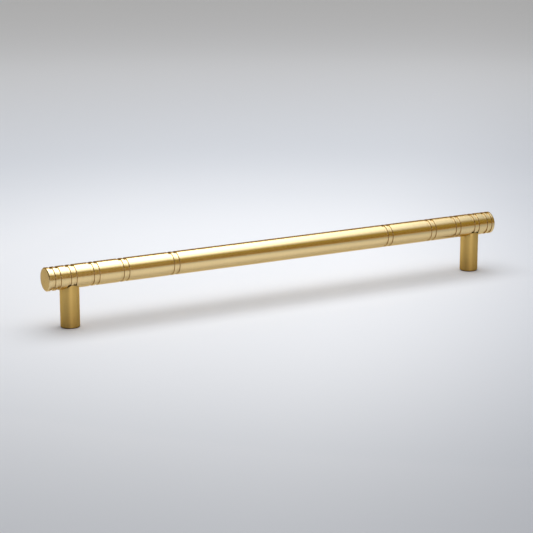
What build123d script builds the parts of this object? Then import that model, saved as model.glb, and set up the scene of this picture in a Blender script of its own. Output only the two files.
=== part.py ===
"""Bar cabinet pull: a grooved round bar carried on two coped posts, for screwing to a drawer or door.

The origin is on the cabinet face, midway between the two screw holes.
+X runs along the bar and +Z points away from the cabinet. Lengths are in millimetres.
"""

import os
from math import radians, tan

from build123d import *

# Bar
hole_spacing = 256.0
bar_overhang = 13.8
bar_diameter = 12.7
bar_axis_height = 27.2
bar_end_chamfer = 0.4

# Grooves, turned in pairs; each inset runs from the bar's end to the middle of a pair
groove_floor = 1.5
groove_depth = 0.5
groove_flank_angle = 20.0
groove_pitch = 3.2
end_pair_inset = 4.4
post_pair_inset = 13.35
near_pair_inset = 26.5
middle_pair_inset = 43.8
far_pair_inset = 73.6

# Posts
post_diameter = 10.4
foot_chamfer = 0.5
saddle_gap = 0.05

# Tapped hole for the cabinet screw, drawn at the size of its tapping drill
screw_hole_diameter = 3.3
screw_hole_depth = 12.0
countersink_diameter = 4.2
countersink_angle = 90.0

# Set screw that draws a post up to the bar, and the finer tapped hole that it fills
joint_hole_diameter = 2.5
joint_hole_in_bar = 6.0
drill_point_angle = 118.0
set_screw_clearance = 0.03
set_screw_in_bar = 5.2
set_screw_in_post = 6.8
set_screw_chamfer = 0.3
hex_socket_width = 1.5
hex_socket_depth = 1.4

# Sizes that follow from the ones above
bar_radius = bar_diameter / 2
bar_length = hole_spacing + 2 * bar_overhang
bar_underside = bar_axis_height - bar_radius
bar_axis = Axis((0, 0, bar_axis_height), (1, 0, 0))
post_x = hole_spacing / 2
saddle_radius = bar_radius + saddle_gap
bar_top = bar_axis_height + bar_radius
groove_cutter_height = 2 * groove_depth
groove_cutter_width = groove_floor + 2 * groove_cutter_height * tan(radians(groove_flank_angle))
joint_hole_radius = joint_hole_diameter / 2
joint_hole_top = bar_underside + joint_hole_in_bar
drill_point_length = joint_hole_radius / tan(radians(drill_point_angle / 2))
set_screw_radius = joint_hole_radius - set_screw_clearance
set_screw_foot = bar_underside - set_screw_in_post
set_screw_length = set_screw_in_post + set_screw_in_bar

# Where the grooves are cut on the right half of the bar, and so on both halves
pair_insets = [end_pair_inset, post_pair_inset, near_pair_inset, middle_pair_inset, far_pair_inset]
pair_centers = [bar_length / 2 - inset for inset in pair_insets]
groove_xs = [center + half * groove_pitch / 2 for center in pair_centers for half in (-1, 1)]
groove_places = [(side * x, bar_top) for side in (-1, 1) for x in groove_xs]

upwards = (Align.CENTER, Align.CENTER, Align.MIN)

os.makedirs("parts", exist_ok=True)

# Bar: a chamfered rod with the grooves turned into it and a blind hole drilled over each post
with BuildPart() as bar:
    with BuildSketch(Plane.YZ.offset(-bar_length / 2)):
        with Locations((0, bar_axis_height)):
            Circle(bar_radius)
    extrude(amount=bar_length)
    chamfer(bar.edges().filter_by(GeomType.CIRCLE), length=bar_end_chamfer)
    with BuildSketch(Plane.XZ):
        with Locations(*groove_places):
            Trapezoid(groove_cutter_width, groove_cutter_height, 90 - groove_flank_angle, rotation=180)
    revolve(axis=bar_axis, mode=Mode.SUBTRACT)
    with Locations((-post_x, 0, 0), (post_x, 0, 0)):
        Cylinder(joint_hole_radius, joint_hole_top, align=upwards, mode=Mode.SUBTRACT)
    with Locations((-post_x, 0, joint_hole_top), (post_x, 0, joint_hole_top)):
        Cone(joint_hole_radius, 0, drill_point_length, align=upwards, mode=Mode.SUBTRACT)

bar.part.label = "bar"
export_step(bar.part, "parts/bar.step")

for side, x in (("left", -post_x), ("right", post_x)):
    foot = Plane((x, 0, 0), x_dir=(1, 0, 0), z_dir=(0, 0, -1))

    # Post: a round stub coped to the bar, drilled in two steps from its foot
    with BuildPart() as post:
        with BuildSketch():
            with Locations((x, 0)):
                Circle(post_diameter / 2)
        extrude(amount=bar_axis_height)
        chamfer(post.edges().group_by(Axis.Z)[0], length=foot_chamfer)
        with Locations((x, 0, bar_axis_height)):
            Cylinder(saddle_radius, 2 * post_diameter, rotation=(0, 90, 0), mode=Mode.SUBTRACT)
        with Locations(foot):
            CounterSinkHole(
                radius=screw_hole_diameter / 2,
                counter_sink_radius=countersink_diameter / 2,
                depth=screw_hole_depth,
                counter_sink_angle=countersink_angle,
            )
            Hole(joint_hole_radius, depth=bar_axis_height)

    post.part.label = f"{side}_post"
    export_step(post.part, f"parts/{side}_post.step")

    # Set screw: a headless screw with a hexagon socket at its lower end
    with BuildPart() as set_screw:
        with BuildSketch(Plane.XY.offset(set_screw_foot)):
            with Locations((x, 0)):
                Circle(set_screw_radius)
        extrude(amount=set_screw_length)
        chamfer(set_screw.edges().filter_by(GeomType.CIRCLE), length=set_screw_chamfer)
        with BuildSketch(Plane.XY.offset(set_screw_foot)):
            with Locations((x, 0)):
                RegularPolygon(hex_socket_width / 2, side_count=6, major_radius=False)
        extrude(amount=hex_socket_depth, mode=Mode.SUBTRACT)

    set_screw.part.label = f"{side}_set_screw"
    export_step(set_screw.part, f"parts/{side}_set_screw.step")
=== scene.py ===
"""Looks of a bar cabinet pull in satin brass: a grooved bar on two coped posts, on a pale floor."""

from math import pi, radians

import bpy
import numpy as np
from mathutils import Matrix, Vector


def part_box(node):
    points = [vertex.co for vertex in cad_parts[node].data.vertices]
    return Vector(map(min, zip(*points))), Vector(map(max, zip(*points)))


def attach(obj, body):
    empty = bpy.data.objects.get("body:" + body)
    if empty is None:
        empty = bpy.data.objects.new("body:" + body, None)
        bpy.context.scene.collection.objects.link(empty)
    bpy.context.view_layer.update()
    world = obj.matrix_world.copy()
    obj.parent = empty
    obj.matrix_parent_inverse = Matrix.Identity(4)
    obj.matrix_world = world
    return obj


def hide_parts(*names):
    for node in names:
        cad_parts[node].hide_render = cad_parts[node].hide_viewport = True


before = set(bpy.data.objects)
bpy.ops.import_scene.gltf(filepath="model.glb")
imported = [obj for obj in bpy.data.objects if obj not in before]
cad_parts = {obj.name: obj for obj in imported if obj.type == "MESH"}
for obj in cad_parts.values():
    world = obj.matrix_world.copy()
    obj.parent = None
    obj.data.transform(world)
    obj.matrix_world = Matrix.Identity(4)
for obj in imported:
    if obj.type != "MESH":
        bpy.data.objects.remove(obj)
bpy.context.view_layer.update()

MM = 0.001
X_AXIS = 0
Z_AXIS = 2

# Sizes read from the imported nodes, in metres
bar_low, bar_high = (np.array(corner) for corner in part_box("bar"))
BAR_HALF_LENGTH = (bar_high[0] - bar_low[0]) / 2
BAR_RADIUS = (bar_high[2] - bar_low[2]) / 2
BAR_AXIS_HEIGHT = (bar_high[2] + bar_low[2]) / 2
BAR_UNDERSIDE = BAR_AXIS_HEIGHT - BAR_RADIUS
POST_X = sum(corner[0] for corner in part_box("right_post")) / 2

# Bar: the end face's innermost ring is a share of its outer one
BAR_END_CHAMFER = 0.4 * MM
BAR_EDGE_ROUND = 0.12 * MM
BAR_EDGE_POINTS = 5
BAR_AROUND = 144
END_FACE_RINGS = 8
END_FACE_INNERMOST = 0.08
# Painted shade on the end face, as a share of the dark brown tone
END_FACE_SHADE = 0.35
FACED_DEPTH = 0.02 * MM

# Grooves: each inset runs from the bar's end to the middle of a pair
GROOVE_FLOOR = 1.5 * MM
GROOVE_DEPTH = 0.5 * MM
GROOVE_FLANK = radians(20)
GROOVE_EDGE_ROUND = 0.04 * MM
# Painted shade in the grooves: a little on their floors, and full on their flanks
GROOVE_FLOOR_SHADE = 0.06
GROOVE_SHADE_REACH = 0.09 * MM
GROOVE_PITCH = 3.2 * MM
PAIR_INSETS = np.array([4.4, 13.35, 26.5, 43.8, 73.6]) * MM

# Points of a groove's profile, from its middle, from the edge of its floor and from its rim
GROOVE_FLOOR_STEPS = np.array([0.0, 0.35]) * MM
GROOVE_FOOT_STEPS = np.array([-0.09, -0.02, 0.0, 0.02, 0.06, 0.12]) * MM
GROOVE_RIM_STEPS = np.array([-0.022, 0.0, 0.018, 0.048, 0.168, 0.368]) * MM

# Edges that turn by more than this are drawn sharp
SHARP_ANGLE = radians(32)

# Posts
POST_AROUND = 112
POST_WALL_RINGS = 9
FOOT_CHAMFER = 0.5 * MM
FOOT_CORNER_EASE = 0.04 * MM
FOOT_RINGS = 5
FOOT_INNER_GAP = 0.3 * MM
FOOT_OUTER_GAP = 0.06 * MM
# Painted shade on the foot's bevel, and on the wall, darker towards the foot
FOOT_SHADE = 1.0
WALL_FOOT_SHADE = 0.5
WALL_SHADE_POWER = 1.5
SADDLE_GAP = 0.05 * MM
SADDLE_RINGS = 14
SADDLE_EDGE_ROUND = 0.15 * MM
SADDLE_EDGE_TURNS = np.radians([18, 36, 54, 72])

# Holes in a post: the cabinet screw's thread, and the finer hole of the set screw above it
SCREW_HOLE_RADIUS = 1.65 * MM
SCREW_HOLE_DEPTH = 12.0 * MM
COUNTERSINK_RADIUS = 2.1 * MM
STEP_RADII = np.array([1.4, 1.6]) * MM
THREAD_PITCH = 0.7 * MM
THREAD_DEPTH = 0.32 * MM
THREAD_FLAT = 0.125
THREAD_RUNOUT_TURNS = 0.6
THREAD_RINGS_A_TURN = 12
THREAD_TOP_GAP = 0.02 * MM
JOINT_HOLE_RADIUS = 1.25 * MM
JOINT_HOLE_RINGS = 5
JOINT_HOLE_FIRST_RING = 0.15

# Blind hole in the bar: its rings are shares of its radius, turned half a step off the bar's own lines
JOINT_HOLE_IN_BAR = 6.0 * MM
DRILL_START = 1.0 * MM
DRILL_START_RINGS = np.array([0.4, 1.0])
DRILL_POINT = 0.75 * MM
DRILL_POINT_RINGS = np.array([1.0, 0.7, 0.35, 0.02])
HOLE_AROUND = 48
HOLE_TURN = 0.5

# Brass: marks are spaced along the turning axis, and drawn out to a few dozen a metre the other ways
BAR_BRASS = (0.82, 0.625, 0.315, 1.0)
POST_BRASS = (0.71, 0.49, 0.16, 1.0)
# Painted shade: the dark brown that grooves, bores, the post's foot and the bar's end face are mixed
# towards
BRASS_PAINTED_SHADE = (0.23, 0.105, 0.006, 1.0)
BRASS_EDGE_TINT = (0.80, 0.66, 0.42, 1.0)
BAR_ROUGHNESS = 0.25
POST_ROUGHNESS = 0.42
ROUGHNESS_SPREAD = 0.006
BRASS_ANISOTROPY = 0.6
BAR_MARKS = 0.03
POST_MARKS = 0.015
COARSE_MARKS = 0.5 * MM
FINE_MARKS = 0.16 * MM
MARKS_A_METRE_AROUND = 40.0
MARK_DETAIL = 2.0
MARK_DEPTH = 0.02 * MM
MARK_STRENGTH = 0.05
NOISE_LOW = 0.3
NOISE_HIGH = 0.7

# Zinc plating, with the count of its clouds in a metre
ZINC_DARK = (0.36, 0.36, 0.38, 1.0)
ZINC_PALE = (0.56, 0.56, 0.56, 1.0)
ZINC_CLOUDS = 1500.0
ZINC_SMOOTHEST = 0.3
ZINC_ROUGHEST = 0.5

# Camera: place in metres, lens and sensor in millimetres
CAMERA_YAW = radians(29.40)
CAMERA_PITCH = radians(13.76)
CAMERA_PLACE = (-0.52254, -0.91131, 0.27445)
CAMERA_LENS = 130.96
CAMERA_SENSOR = 36.0
CAMERA_NEAREST = 0.01
CAMERA_FARTHEST = 50.0

# Floor: paper with a painted pool of light, palest under the pull, with painted shade to one side, that
# glows a little far away from it
FLOOR_REACH = 6.0
FLOOR_DROP = 0.05 * MM
CLEAR_UNDER_FOOT = 4.4 * MM
FLOOR_PALE = (0.815, 0.77, 0.695, 1.0)
FLOOR_COOL = (0.63, 0.61, 0.57, 1.0)
FLOOR_SIDE = (0.48, 0.465, 0.44, 1.0)
FLOOR_ROUGHNESS = 0.9
PALE_WITHIN = 0.10
COOL_BEYOND = 0.50
SIDE_WAY = (0.807, -0.605, 0.0)
SIDE_STARTS = 0.02
SIDE_FULL = 0.28
FLOOR_GLOW = (0.30, 0.30, 0.30, 1.0)
GLOW_STARTS = 0.25
GLOW_FULL = 1.0

# Light: a soft panel overhead; a fade says where it starts and ends, and the share of light left there
PANEL_LOW = np.array([-0.42, -0.62])
PANEL_HIGH = np.array([0.62, 0.52])
PANEL_HEIGHT = 0.6
PANEL_BRIGHTNESS = 3.45
PANEL_COLOUR = (0.92, 1.0, 1.17)
LEFT_FADE = (-0.08, -0.42, 0.1)
RIGHT_FADE = (0.12, 0.60, 0.13)
RIGHT_FADE_LEAN = 0.3
FRONT_FADE = (0.08, -0.62, 0.08)

# Room: tones, and for each the span of a ray's direction from where it starts to where it is full
BACKDROP = (0.45, 0.45, 0.45, 1.0)
ROOM_FILL = (0.12, 0.122, 0.127, 1.0)
ROOM_BELOW = (0.62, 0.62, 0.62, 1.0)
BELOW_SPAN = (-0.01, -0.04)
ROOM_SIDES = (0.06, 0.045, 0.02, 1.0)
ROOM_BACK = (0.30, 0.195, 0.02, 1.0)
BACK_SPAN = (0.3, 0.8)
FRONT_SPAN = (-0.1, -0.9)
ROOM_HORIZON = (0.62, 0.43, 0.12, 1.0)
ABOVE_HORIZON_SPAN = (0.0, 0.10)
ROOM_FRONT_LOW = (0.27, 0.168, 0.006, 1.0)
ROOM_FRONT_HIGH = (0.46, 0.345, 0.05, 1.0)
FRONT_HIGH_SPAN = (0.2, 0.6)
ROOM_FRONT_LEFT = (0.08, 0.045, 0.004, 1.0)
FRONT_RIGHT_SPAN = (-0.50, -0.30)
BLACK = (0.0, 0.0, 0.0, 1.0)
FRONT_SHARE = 0.7
FRONT_SHARE_SPAN = (0.36, 0.45)
FRONT_CARD = (1.62, 1.50, 1.52, 1.0)
CARD_WAY = (-0.165, -0.935, 0.31)
CARD_SPAN = (0.91, 0.975)

# Sockets of a colour mix node
MIX_FACTOR = 0
MIX_FIRST = 6
MIX_SECOND = 7
MIX_RESULT = 2


def soft_ramp(distance, rounding):
    """max(distance, 0) with its corner rounded off: half of distance plus its smoothed size."""
    return (distance + np.sqrt(distance**2 + rounding**2)) / 2


def groove_places():
    """The x of every groove: each pair's middle, less and plus half a pitch, on both halves."""
    middles = BAR_HALF_LENGTH - PAIR_INSETS
    half = np.concatenate([middles - GROOVE_PITCH / 2, middles + GROOVE_PITCH / 2])
    return np.sort(np.concatenate([-half, half]))


def groove_cut(x):
    """Depth of the nearest groove at x: a flat floor between two flanks, with every corner rounded."""
    away = np.abs(x[:, None] - groove_places()[None, :]).min(axis=1)
    rise = (GROOVE_FLOOR / 2 - away) / np.tan(GROOVE_FLANK) + GROOVE_DEPTH
    return soft_ramp(rise, GROOVE_EDGE_ROUND) - soft_ramp(rise - GROOVE_DEPTH, GROOVE_EDGE_ROUND)


def groove_shade(x):
    """How much painted shade the bar has at x: a little on a groove's floor, and fully on its flanks.

    The change of depth over a short reach either way finds the flanks, and the depth at x keeps the
    brown inside the groove.
    """
    change = np.abs(groove_cut(x + GROOVE_SHADE_REACH) - groove_cut(x - GROOVE_SHADE_REACH))
    flank = np.clip(change / GROOVE_DEPTH, 0, 1)
    depth = np.clip(groove_cut(x) / GROOVE_DEPTH, 0, 1)
    return np.sqrt(depth) * np.maximum(flank, GROOVE_FLOOR_SHADE)


def groove_steps():
    """Places of a groove's profile points either side of its middle, closest together at its corners."""
    floor_edge = GROOVE_FLOOR / 2
    rim = floor_edge + GROOVE_DEPTH * np.tan(GROOVE_FLANK)
    half = np.concatenate([GROOVE_FLOOR_STEPS, floor_edge + GROOVE_FOOT_STEPS, rim + GROOVE_RIM_STEPS])
    return np.concatenate([-half[:0:-1], half])


def arc(center, radius, start, stop, steps):
    """Points on a circle about center, from angle start to angle stop."""
    angle = np.linspace(start, stop, steps)
    return np.stack([center[0] + radius * np.cos(angle), center[1] + radius * np.sin(angle)], axis=1)


def skin(name, rings, along, painted_shade, loop=False):
    """A mesh through rings of points, each ring closed on itself.

    A loop joins the last ring to the first; otherwise a fan to the ring's middle closes each end.
    The UV map runs along the profile in U and once around in V, and the painted shade is kept on the
    points.
    """
    rows, around = rings.shape[:2]
    index = np.arange(rows * around).reshape(rows, around)
    spans = rows if loop else rows - 1
    here, there = index[:spans], np.roll(index, -1, axis=0)[:spans]
    quads = np.stack([here, np.roll(here, -1, axis=1), np.roll(there, -1, axis=1), there], axis=2)
    turn = np.arange(around) / around
    step = 1 / around
    u_here = np.repeat(along[:spans], around)
    u_there = np.repeat(along[1:spans + 1], around)
    v_here = np.tile(turn, spans)
    quad_u = np.stack([u_here, u_here, u_there, u_there], axis=1)
    quad_v = np.stack([v_here, v_here + step, v_here + step, v_here], axis=1)
    points = rings.reshape(-1, 3)
    faces = quads.reshape(-1, 4).tolist()
    uv = [np.stack([quad_u.ravel(), quad_v.ravel()], axis=1)]
    if not loop:
        first, last = index[0], index[-1]
        poles = np.array([rings[0].mean(axis=0), rings[-1].mean(axis=0)])
        radius = np.linalg.norm(rings[0, 0] - poles[0])
        fans = (
            (np.roll(first, -1), first, along[0], along[0] - radius, turn + step, turn),
            (last, np.roll(last, -1), along[-1], along[-1] + radius, turn, turn + step),
        )
        for pole, (one, other, edge_u, pole_u, one_v, other_v) in enumerate(fans, len(points)):
            faces += np.stack([one, other, np.full(around, pole)], axis=1).tolist()
            fan_u = np.tile([edge_u, edge_u, pole_u], around)
            fan_v = np.stack([one_v, other_v, turn + step / 2], axis=1)
            uv.append(np.stack([fan_u, fan_v.ravel()], axis=1))
        points = np.concatenate([points, poles])
        painted_shade = np.concatenate([painted_shade, np.zeros(len(poles))])
    mesh = bpy.data.meshes.new(name)
    mesh.from_pydata(points.tolist(), [], faces)
    turning = mesh.uv_layers.new(name="turning")
    turning.data.foreach_set("uv", np.concatenate(uv).astype(np.float32).ravel())
    shade = mesh.attributes.new("painted_shade", "FLOAT", "POINT")
    shade.data.foreach_set("value", painted_shade.astype(np.float32))
    mesh.shade_smooth()
    mesh.set_sharp_from_angle(angle=SHARP_ANGLE)
    piece = bpy.data.objects.new(name, mesh)
    bpy.context.scene.collection.objects.link(piece)
    return piece


def bar_profile():
    """(x, radius) along the bar: a flat end, a rounded chamfer, the grooved barrel, and the same again."""
    x = np.sort((groove_places()[:, None] + groove_steps()[None, :]).ravel())
    barrel = np.stack([x, BAR_RADIUS - groove_cut(x)], axis=1)
    reach = BAR_EDGE_ROUND * np.tan(pi / 8)
    face_edge = BAR_RADIUS - BAR_END_CHAMFER - reach
    end_x = -BAR_HALF_LENGTH
    face_radius = np.linspace(END_FACE_INNERMOST, 1, END_FACE_RINGS) * face_edge
    face = np.stack([np.full(END_FACE_RINGS, end_x), face_radius], axis=1)
    inner_center = (end_x + BAR_EDGE_ROUND, face_edge)
    inner = arc(inner_center, BAR_EDGE_ROUND, pi, 3 * pi / 4, BAR_EDGE_POINTS)
    outer_center = (end_x + BAR_END_CHAMFER + reach, BAR_RADIUS - BAR_EDGE_ROUND)
    outer = arc(outer_center, BAR_EDGE_ROUND, 3 * pi / 4, pi / 2, BAR_EDGE_POINTS)
    left = np.concatenate([face, inner[1:], outer])
    right = left[::-1] * [-1, 1]
    return np.concatenate([left, barrel, right])


def blind_hole(center_x):
    """The hole over a post, as a solid: a cylinder up into the bar that ends in the drill's cone."""
    start = np.full(len(DRILL_START_RINGS), BAR_UNDERSIDE - DRILL_START)
    point = BAR_UNDERSIDE + JOINT_HOLE_IN_BAR + (1 - DRILL_POINT_RINGS) * DRILL_POINT
    height = np.concatenate([start, point])
    radius = np.concatenate([DRILL_START_RINGS, DRILL_POINT_RINGS]) * JOINT_HOLE_RADIUS
    angle = (np.arange(HOLE_AROUND) + HOLE_TURN) * 2 * pi / HOLE_AROUND
    x = center_x + radius[:, None] * np.cos(angle)
    y = radius[:, None] * np.sin(angle)
    z = np.broadcast_to(height[:, None], x.shape)
    along = np.concatenate([[0], np.cumsum(np.hypot(np.diff(radius), np.diff(height)))])
    return skin("blind_hole", np.stack([x, y, z], axis=2), along, np.ones(x.size))


def drill(piece, cutter):
    """Cuts the cutter's shape out of a piece, for good, and removes the cutter."""
    cut = piece.modifiers.new("drilled", "BOOLEAN")
    cut.operation = "DIFFERENCE"
    cut.solver = "EXACT"
    cut.object = cutter
    solid = piece.evaluated_get(bpy.context.evaluated_depsgraph_get())
    drilled = bpy.data.meshes.new_from_object(solid)
    drilled.name = piece.name
    piece.modifiers.clear()
    piece.data = drilled
    bpy.data.objects.remove(cutter)


def lathe_bar():
    """The bar: its profile turned about the x axis, with a blind hole drilled over each post."""
    profile = bar_profile()
    angle = np.arange(BAR_AROUND) * 2 * pi / BAR_AROUND
    x = np.broadcast_to(profile[:, :1], (len(profile), BAR_AROUND))
    y = profile[:, 1:] * np.cos(angle)
    z = BAR_AXIS_HEIGHT + profile[:, 1:] * np.sin(angle)
    along = np.concatenate([[0], np.cumsum(np.linalg.norm(np.diff(profile, axis=0), axis=1))])
    # Painted shade on the bar's end face
    painted_end_shade = END_FACE_SHADE * (np.abs(profile[:, 0]) > BAR_HALF_LENGTH - FACED_DEPTH)
    painted_shade = groove_shade(profile[:, 0]) + painted_end_shade
    bar = skin("turned_bar", np.stack([x, y, z], axis=2), along, np.repeat(painted_shade, BAR_AROUND))
    for post in ("left_post", "right_post"):
        low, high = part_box(post)
        drill(bar, blind_hole((low[0] + high[0]) / 2))
    return bar


def saddle_height(radius, angle):
    """Height of the saddle over a point of the post: the bar's axis less the chord of the cope there."""
    across = radius * np.sin(angle)
    return BAR_AXIS_HEIGHT - np.sqrt((BAR_RADIUS + SADDLE_GAP) ** 2 - across**2)


def thread_radius(z, angle):
    """Wall of the tapped hole: a helical triangle wave outside the drill's radius.

    The wave's tips are cut flat, it fades out at the hole's inner end, and the countersink opens it
    at the foot.
    """
    phase = np.mod(z / THREAD_PITCH - angle / (2 * pi), 1.0)
    wave = 1 - np.abs(2 * phase - 1)
    tooth = np.clip((1 + 2 * THREAD_FLAT) * wave - THREAD_FLAT, 0, 1)
    fade = np.clip((SCREW_HOLE_DEPTH - z) / THREAD_PITCH - THREAD_RUNOUT_TURNS, 0, 1)
    wall = SCREW_HOLE_RADIUS + THREAD_DEPTH * tooth * fade
    return np.maximum(wall, COUNTERSINK_RADIUS - z)


def cope_post(name, solid):
    """A post: one closed profile turned about the post's axis, whose top follows the saddle.

    The profile runs up the wall, in over the saddle, down the set screw's hole, out over its step,
    down the thread, and out over the countersink, the foot and the foot's chamfer.
    """
    low, high = (np.array(corner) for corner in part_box(solid))
    center_x = (low[0] + high[0]) / 2
    post_radius = (high[0] - low[0]) / 2
    angle = np.arange(POST_AROUND) * 2 * pi / POST_AROUND
    around = np.ones(POST_AROUND)

    wall_top = saddle_height(post_radius, angle) - SADDLE_EDGE_ROUND
    rise = np.linspace(0, 1, POST_WALL_RINGS)[:, None]
    wall_z = FOOT_CHAMFER + (wall_top - FOOT_CHAMFER) * rise
    wall = np.full(wall_z.shape, post_radius), wall_z

    turn = SADDLE_EDGE_TURNS[:, None]
    rim_radius = post_radius - SADDLE_EDGE_ROUND * (1 - np.cos(turn)) * around
    rim = rim_radius, saddle_height(rim_radius, angle) - SADDLE_EDGE_ROUND * (1 - np.sin(turn))

    top_radius = np.linspace(post_radius - SADDLE_EDGE_ROUND, JOINT_HOLE_RADIUS, SADDLE_RINGS)[:, None]
    top = top_radius * around, saddle_height(top_radius, angle)

    bore_top = saddle_height(JOINT_HOLE_RADIUS, angle)
    sink = np.linspace(JOINT_HOLE_FIRST_RING, 1, JOINT_HOLE_RINGS)[:, None]
    bore_z = bore_top + (SCREW_HOLE_DEPTH - bore_top) * sink
    bore = np.full(bore_z.shape, JOINT_HOLE_RADIUS), bore_z
    step = STEP_RADII[:, None] * around, np.full((len(STEP_RADII), POST_AROUND), SCREW_HOLE_DEPTH)

    thread_rings = int(SCREW_HOLE_DEPTH / THREAD_PITCH * THREAD_RINGS_A_TURN)
    thread_z = np.linspace(SCREW_HOLE_DEPTH - THREAD_TOP_GAP, 0, thread_rings)[:, None] * around
    thread = thread_radius(thread_z, angle), thread_z

    foot_edge = post_radius - FOOT_CHAMFER
    foot_radius = np.linspace(COUNTERSINK_RADIUS + FOOT_INNER_GAP, foot_edge - FOOT_OUTER_GAP, FOOT_RINGS)
    foot = foot_radius[:, None] * around, np.zeros((FOOT_RINGS, POST_AROUND))
    bevel_radius = np.array([foot_edge + FOOT_CORNER_EASE, post_radius - FOOT_CORNER_EASE])
    bevel_z = np.array([FOOT_CORNER_EASE, FOOT_CHAMFER - FOOT_CORNER_EASE])
    bevel = bevel_radius[:, None] * around, bevel_z[:, None] * around

    # Painted shade: darker towards the foot on the wall, full in the bores and the thread, and on the
    # foot's bevel
    wall_shade = WALL_FOOT_SHADE * (1 - rise[:, 0]) ** WALL_SHADE_POWER
    shaded_runs = (
        (wall, wall_shade),
        (rim, 0.0),
        (top, 0.0),
        (bore, 1.0),
        (step, 0.0),
        (thread, 1.0),
        (foot, 0.0),
        (bevel, FOOT_SHADE),
    )
    radius = np.concatenate([run[0] for run, shade in shaded_runs])
    z = np.concatenate([run[1] for run, shade in shaded_runs])
    painted_shade = np.concatenate([shade * np.ones(len(run[0])) for run, shade in shaded_runs])
    rings = np.stack([center_x + radius * np.cos(angle), radius * np.sin(angle), z], axis=2)
    gaps = np.linalg.norm(np.diff(rings[:, 0], axis=0, append=rings[:1, 0]), axis=1)
    along = np.concatenate([[0], np.cumsum(gaps)])
    piece = skin(name, rings, along, np.repeat(painted_shade, POST_AROUND), loop=True)
    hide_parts(solid)
    return piece


def links(tree, *pairs):
    """Joins output sockets to input sockets."""
    for source, target in pairs:
        tree.links.new(source, target)


def node(tree, kind, **settings):
    """A node of that kind with the given properties set."""
    made = tree.nodes.new(kind)
    for key, value in settings.items():
        setattr(made, key, value)
    return made


def blend(tree, factor, first, second):
    """A colour between first and second, each a colour or a socket, at the factor's socket."""
    mix = node(tree, "ShaderNodeMix", data_type="RGBA")
    for value, socket in ((first, mix.inputs[MIX_FIRST]), (second, mix.inputs[MIX_SECOND])):
        if isinstance(value, tuple):
            socket.default_value = value
        else:
            links(tree, (value, socket))
    links(tree, (factor, mix.inputs[MIX_FACTOR]))
    return mix.outputs[MIX_RESULT]


def smooth_step(tree, source, start, stop, low=0.0, high=1.0):
    """low before start and high after stop, with a smooth run between them."""
    run = node(tree, "ShaderNodeMapRange", interpolation_type="SMOOTHSTEP")
    for socket, value in (("From Min", start), ("From Max", stop), ("To Min", low), ("To Max", high)):
        run.inputs[socket].default_value = value
    links(tree, (source, run.inputs["Value"]))
    return run.outputs["Result"]


def tool_marks(tree, spacing, turning_axis):
    """Noise drawn out into rings about one axis, as a turning tool leaves them, spacing metres apart."""
    place = node(tree, "ShaderNodeTexCoord")
    stretch = node(tree, "ShaderNodeMapping")
    density = [MARKS_A_METRE_AROUND] * 3
    density[turning_axis] = 1 / spacing
    stretch.inputs["Scale"].default_value = density
    marks = node(tree, "ShaderNodeTexNoise")
    marks.inputs["Scale"].default_value = 1.0
    marks.inputs["Detail"].default_value = MARK_DETAIL
    links(
        tree,
        (place.outputs["Object"], stretch.inputs["Vector"]),
        (stretch.outputs["Vector"], marks.inputs["Vector"]),
    )
    return marks.outputs["Fac"]


def spread(tree, source, middle, either_way):
    """A value about the middle, by as much either way, over the middle of a noise's range."""
    run = node(tree, "ShaderNodeMapRange")
    run.inputs["From Min"].default_value = NOISE_LOW
    run.inputs["From Max"].default_value = NOISE_HIGH
    run.inputs["To Min"].default_value = middle - either_way
    run.inputs["To Max"].default_value = middle + either_way
    links(tree, (source, run.inputs["Value"]))
    return run.outputs["Result"]


def satin_brass(name, tone, roughness, marks, turning_axis):
    """Satin brass, turned: coarse and fine rings of tool marks, and a browner tone of painted shade in
    grooves and bores.
    """
    material = bpy.data.materials.new(name)
    material.use_nodes = True
    tree = material.node_tree
    shader = tree.nodes["Principled BSDF"]
    shader.inputs["Metallic"].default_value = 1.0
    shader.inputs["Anisotropic"].default_value = BRASS_ANISOTROPY
    shader.inputs["Specular Tint"].default_value = BRASS_EDGE_TINT
    coarse = tool_marks(tree, COARSE_MARKS, turning_axis)
    fine = tool_marks(tree, FINE_MARKS, turning_axis)

    painted_shade = node(tree, "ShaderNodeAttribute", attribute_name="painted_shade")
    shaded_tone = blend(tree, painted_shade.outputs["Fac"], tone, BRASS_PAINTED_SHADE)
    shade = node(tree, "ShaderNodeMix", data_type="RGBA", blend_type="MULTIPLY")
    shade.inputs[MIX_FACTOR].default_value = 1.0
    links(
        tree,
        (shaded_tone, shade.inputs[MIX_FIRST]),
        (spread(tree, coarse, 1.0, marks), shade.inputs[MIX_SECOND]),
        (shade.outputs[MIX_RESULT], shader.inputs["Base Color"]),
        (spread(tree, fine, roughness, ROUGHNESS_SPREAD), shader.inputs["Roughness"]),
    )

    ridges = node(tree, "ShaderNodeMath", operation="ADD")
    relief = node(tree, "ShaderNodeBump")
    relief.inputs["Strength"].default_value = MARK_STRENGTH
    relief.inputs["Distance"].default_value = MARK_DEPTH
    tangent = node(tree, "ShaderNodeTangent", direction_type="UV_MAP", uv_map="turning")
    links(
        tree,
        (coarse, ridges.inputs[0]),
        (fine, ridges.inputs[1]),
        (ridges.outputs["Value"], relief.inputs["Height"]),
        (relief.outputs["Normal"], shader.inputs["Normal"]),
        (tangent.outputs["Tangent"], shader.inputs["Tangent"]),
    )
    return material


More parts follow.
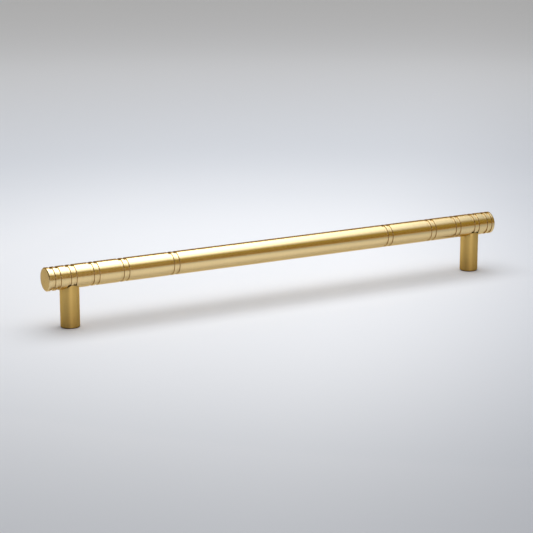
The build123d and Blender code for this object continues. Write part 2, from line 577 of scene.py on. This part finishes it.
def zinc_steel():
    """Plain zinc-plated steel for the hidden set screws: a cloudy grey with a mild sheen."""
    material = bpy.data.materials.new("zinc_plated_screw")
    material.use_nodes = True
    tree = material.node_tree
    shader = tree.nodes["Principled BSDF"]
    shader.inputs["Metallic"].default_value = 1.0
    place = node(tree, "ShaderNodeTexCoord")
    clouds = node(tree, "ShaderNodeTexNoise")
    clouds.inputs["Scale"].default_value = ZINC_CLOUDS
    tint = node(tree, "ShaderNodeValToRGB")
    tint.color_ramp.elements[0].color = ZINC_DARK
    tint.color_ramp.elements[1].color = ZINC_PALE
    gloss = node(tree, "ShaderNodeMapRange")
    gloss.inputs["To Min"].default_value = ZINC_SMOOTHEST
    gloss.inputs["To Max"].default_value = ZINC_ROUGHEST
    links(
        tree,
        (place.outputs["Object"], clouds.inputs["Vector"]),
        (clouds.outputs["Fac"], tint.inputs["Fac"]),
        (tint.outputs["Color"], shader.inputs["Base Color"]),
        (clouds.outputs["Fac"], gloss.inputs["Value"]),
        (gloss.outputs["Result"], shader.inputs["Roughness"]),
    )
    return material


def photo_camera():
    """A camera at the photograph's angle."""
    data = bpy.data.cameras.new("camera")
    data.lens = CAMERA_LENS
    data.sensor_width = CAMERA_SENSOR
    data.clip_start = CAMERA_NEAREST
    data.clip_end = CAMERA_FARTHEST
    camera = bpy.data.objects.new("camera", data)
    camera.location = CAMERA_PLACE
    camera.rotation_euler = (pi / 2 - CAMERA_PITCH, 0.0, -CAMERA_YAW)
    bpy.context.scene.collection.objects.link(camera)
    bpy.context.scene.camera = camera


def seen_rays(tree):
    """1 on rays from the camera, and on their mirrored and refracted ones; 0 on the rest."""
    path = node(tree, "ShaderNodeLightPath")
    first = node(tree, "ShaderNodeMath", operation="MAXIMUM")
    second = node(tree, "ShaderNodeMath", operation="MAXIMUM")
    links(
        tree,
        (path.outputs["Is Camera Ray"], first.inputs[0]),
        (path.outputs["Is Glossy Ray"], first.inputs[1]),
        (first.outputs["Value"], second.inputs[0]),
        (path.outputs["Is Transmission Ray"], second.inputs[1]),
    )
    return second.outputs["Value"]


def hidden_floor(tree, place):
    """1 where the floor is seen from below or lies under a foot, and 0 elsewhere.

    With the place folded to the positive side of each axis, one distance serves both feet.
    """
    folded = node(tree, "ShaderNodeVectorMath", operation="ABSOLUTE")
    from_foot = node(tree, "ShaderNodeVectorMath", operation="DISTANCE")
    from_foot.inputs[1].default_value = (POST_X, 0.0, 0.0)
    under_foot = node(tree, "ShaderNodeMath", operation="LESS_THAN")
    under_foot.inputs[1].default_value = CLEAR_UNDER_FOOT
    below = node(tree, "ShaderNodeNewGeometry")
    hidden = node(tree, "ShaderNodeMath", operation="MAXIMUM")
    links(
        tree,
        (place, folded.inputs[0]),
        (folded.outputs["Vector"], from_foot.inputs[0]),
        (from_foot.outputs["Value"], under_foot.inputs[0]),
        (below.outputs["Backfacing"], hidden.inputs[0]),
        (under_foot.outputs["Value"], hidden.inputs[1]),
    )
    return hidden.outputs["Value"]


def floor_paper():
    """Matt paper with a painted pool of light: pale near the pull, cooler away from it, painted shade to
    one side, and clear where hidden.
    """
    material = bpy.data.materials.new("pale_floor")
    material.use_nodes = True
    tree = material.node_tree
    shader = tree.nodes["Principled BSDF"]
    shader.inputs["Roughness"].default_value = FLOOR_ROUGHNESS
    shader.inputs["Specular IOR Level"].default_value = 0.0
    shader.inputs["Emission Color"].default_value = FLOOR_GLOW
    place = node(tree, "ShaderNodeTexCoord").outputs["Object"]
    away = node(tree, "ShaderNodeVectorMath", operation="LENGTH")
    aside = node(tree, "ShaderNodeVectorMath", operation="DOT_PRODUCT")
    aside.inputs[1].default_value = SIDE_WAY
    links(tree, (place, away.inputs[0]), (place, aside.inputs[0]))
    # Painted pool of light around the pull, and painted shade towards one side
    painted_pool = smooth_step(tree, away.outputs["Value"], PALE_WITHIN, COOL_BEYOND)
    painted_side_shade = smooth_step(tree, aside.outputs["Value"], SIDE_STARTS, SIDE_FULL)
    tone = blend(tree, painted_side_shade, blend(tree, painted_pool, FLOOR_PALE, FLOOR_COOL), FLOOR_SIDE)
    glow = smooth_step(tree, away.outputs["Value"], GLOW_STARTS, GLOW_FULL)
    strength = node(tree, "ShaderNodeMath", operation="MULTIPLY")
    clear = node(tree, "ShaderNodeBsdfTransparent")
    sides = node(tree, "ShaderNodeMixShader")
    links(
        tree,
        (tone, shader.inputs["Base Color"]),
        (glow, strength.inputs[0]),
        (seen_rays(tree), strength.inputs[1]),
        (strength.outputs["Value"], shader.inputs["Emission Strength"]),
        (hidden_floor(tree, place), sides.inputs[0]),
        (shader.outputs["BSDF"], sides.inputs[1]),
        (clear.outputs["BSDF"], sides.inputs[2]),
        (sides.outputs["Shader"], tree.nodes["Material Output"].inputs["Surface"]),
    )
    return material


def pale_floor():
    """A flat square of floor, just under the feet of the posts."""
    corners = np.array([[-1, -1, 0], [1, -1, 0], [1, 1, 0], [-1, 1, 0]], float) * FLOOR_REACH
    corners[:, 2] = -FLOOR_DROP
    mesh = bpy.data.meshes.new("floor")
    mesh.from_pydata(corners.tolist(), [], [[0, 1, 2, 3]])
    mesh.materials.append(floor_paper())
    floor = bpy.data.objects.new("floor", mesh)
    bpy.context.scene.collection.objects.link(floor)


def overhead_panel():
    """A rectangular lamp that faces down, brightest over the pull, with a fade to three of its edges.

    The fade to the right starts further right in front of the bar and behind it.
    """
    width, depth = PANEL_HIGH - PANEL_LOW
    data = bpy.data.lights.new("overhead_panel", "AREA")
    data.shape = "RECTANGLE"
    data.size = width
    data.size_y = depth
    data.energy = PANEL_BRIGHTNESS * pi * width * depth
    data.color = PANEL_COLOUR
    data.use_nodes = True
    tree = data.node_tree
    place = node(tree, "ShaderNodeNewGeometry")
    parts = node(tree, "ShaderNodeSeparateXYZ")
    sides = node(tree, "ShaderNodeMath", operation="MULTIPLY")
    both = node(tree, "ShaderNodeMath", operation="MULTIPLY")
    aside = node(tree, "ShaderNodeMath", operation="ABSOLUTE")
    leaning = node(tree, "ShaderNodeMath", operation="MULTIPLY_ADD")
    leaning.inputs[1].default_value = -RIGHT_FADE_LEAN
    links(
        tree,
        (place.outputs["Position"], parts.inputs["Vector"]),
        (parts.outputs["Y"], aside.inputs[0]),
        (aside.outputs["Value"], leaning.inputs[0]),
        (parts.outputs["X"], leaning.inputs[2]),
    )
    fades = (
        (LEFT_FADE, parts.outputs["X"], sides.inputs[0]),
        (RIGHT_FADE, leaning.outputs["Value"], sides.inputs[1]),
        (FRONT_FADE, parts.outputs["Y"], both.inputs[0]),
    )
    for (start, stop, share), source, target in fades:
        links(tree, (smooth_step(tree, source, start, stop, 1.0, share), target))
    links(
        tree,
        (sides.outputs["Value"], both.inputs[1]),
        (both.outputs["Value"], tree.nodes["Emission"].inputs["Strength"]),
    )
    lamp = bpy.data.objects.new("overhead_panel", data)
    lamp.location = (*(PANEL_LOW + PANEL_HIGH) / 2, PANEL_HEIGHT)
    bpy.context.scene.collection.objects.link(lamp)


def dim_room():
    """The room that the brass mirrors, with an even fill for matt surfaces and a plain backdrop.

    The sides are dim and the back is warm. The front is warmer, dimmest at its left, with a bright card
    in it and a bright line along its horizon. Below the floor it is pale all round.
    """
    world = bpy.data.worlds.new("dim_room")
    bpy.context.scene.world = world
    world.use_nodes = True
    tree = world.node_tree
    way = node(tree, "ShaderNodeTexCoord")
    parts = node(tree, "ShaderNodeSeparateXYZ")
    facing = node(tree, "ShaderNodeVectorMath", operation="DOT_PRODUCT")
    facing.inputs[1].default_value = CARD_WAY
    path = node(tree, "ShaderNodeLightPath")
    links(
        tree,
        (way.outputs["Generated"], parts.inputs["Vector"]),
        (way.outputs["Generated"], facing.inputs[0]),
    )
    x, y, z = (parts.outputs[axis] for axis in "XYZ")

    share = smooth_step(tree, x, *FRONT_SHARE_SPAN, FRONT_SHARE, 1.0)
    lift = smooth_step(tree, z, *FRONT_HIGH_SPAN)
    front_wall = blend(tree, share, BLACK, blend(tree, lift, ROOM_FRONT_LOW, ROOM_FRONT_HIGH))
    card = smooth_step(tree, facing.outputs["Value"], *CARD_SPAN)
    right = smooth_step(tree, x, *FRONT_RIGHT_SPAN)
    whole_front = blend(tree, right, ROOM_FRONT_LEFT, blend(tree, card, front_wall, FRONT_CARD))

    front = smooth_step(tree, y, *FRONT_SPAN)
    back = smooth_step(tree, y, *BACK_SPAN)
    walls = blend(tree, front, blend(tree, back, ROOM_SIDES, ROOM_BACK), whole_front)
    horizon = blend(tree, front, ROOM_SIDES, ROOM_HORIZON)
    rise = smooth_step(tree, z, *ABOVE_HORIZON_SPAN)
    below = smooth_step(tree, z, *BELOW_SPAN)
    room = blend(tree, below, blend(tree, rise, horizon, walls), ROOM_BELOW)

    lit = blend(tree, path.outputs["Is Diffuse Ray"], room, ROOM_FILL)
    shown = blend(tree, path.outputs["Is Camera Ray"], lit, BACKDROP)
    links(tree, (shown, tree.nodes["Background"].inputs["Color"]))


# Pieces
bar = lathe_bar()
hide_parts("bar")
left_post = cope_post("coped_post_left", "left_post")
right_post = cope_post("coped_post_right", "right_post")

bar_brass = satin_brass("satin_brass_bar", BAR_BRASS, BAR_ROUGHNESS, BAR_MARKS, X_AXIS)
post_brass = satin_brass("satin_brass_post", POST_BRASS, POST_ROUGHNESS, POST_MARKS, Z_AXIS)
for piece, finish in ((bar, bar_brass), (left_post, post_brass), (right_post, post_brass)):
    piece.data.materials.append(finish)
    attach(piece, "root")

screw_finish = zinc_steel()
for screw in ("left_set_screw", "right_set_screw"):
    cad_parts[screw].data.materials.clear()
    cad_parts[screw].data.materials.append(screw_finish)

# Camera, floor, light and room
photo_camera()
pale_floor()
overhead_panel()
dim_room()
bpy.context.scene.view_settings.view_transform = "Standard"
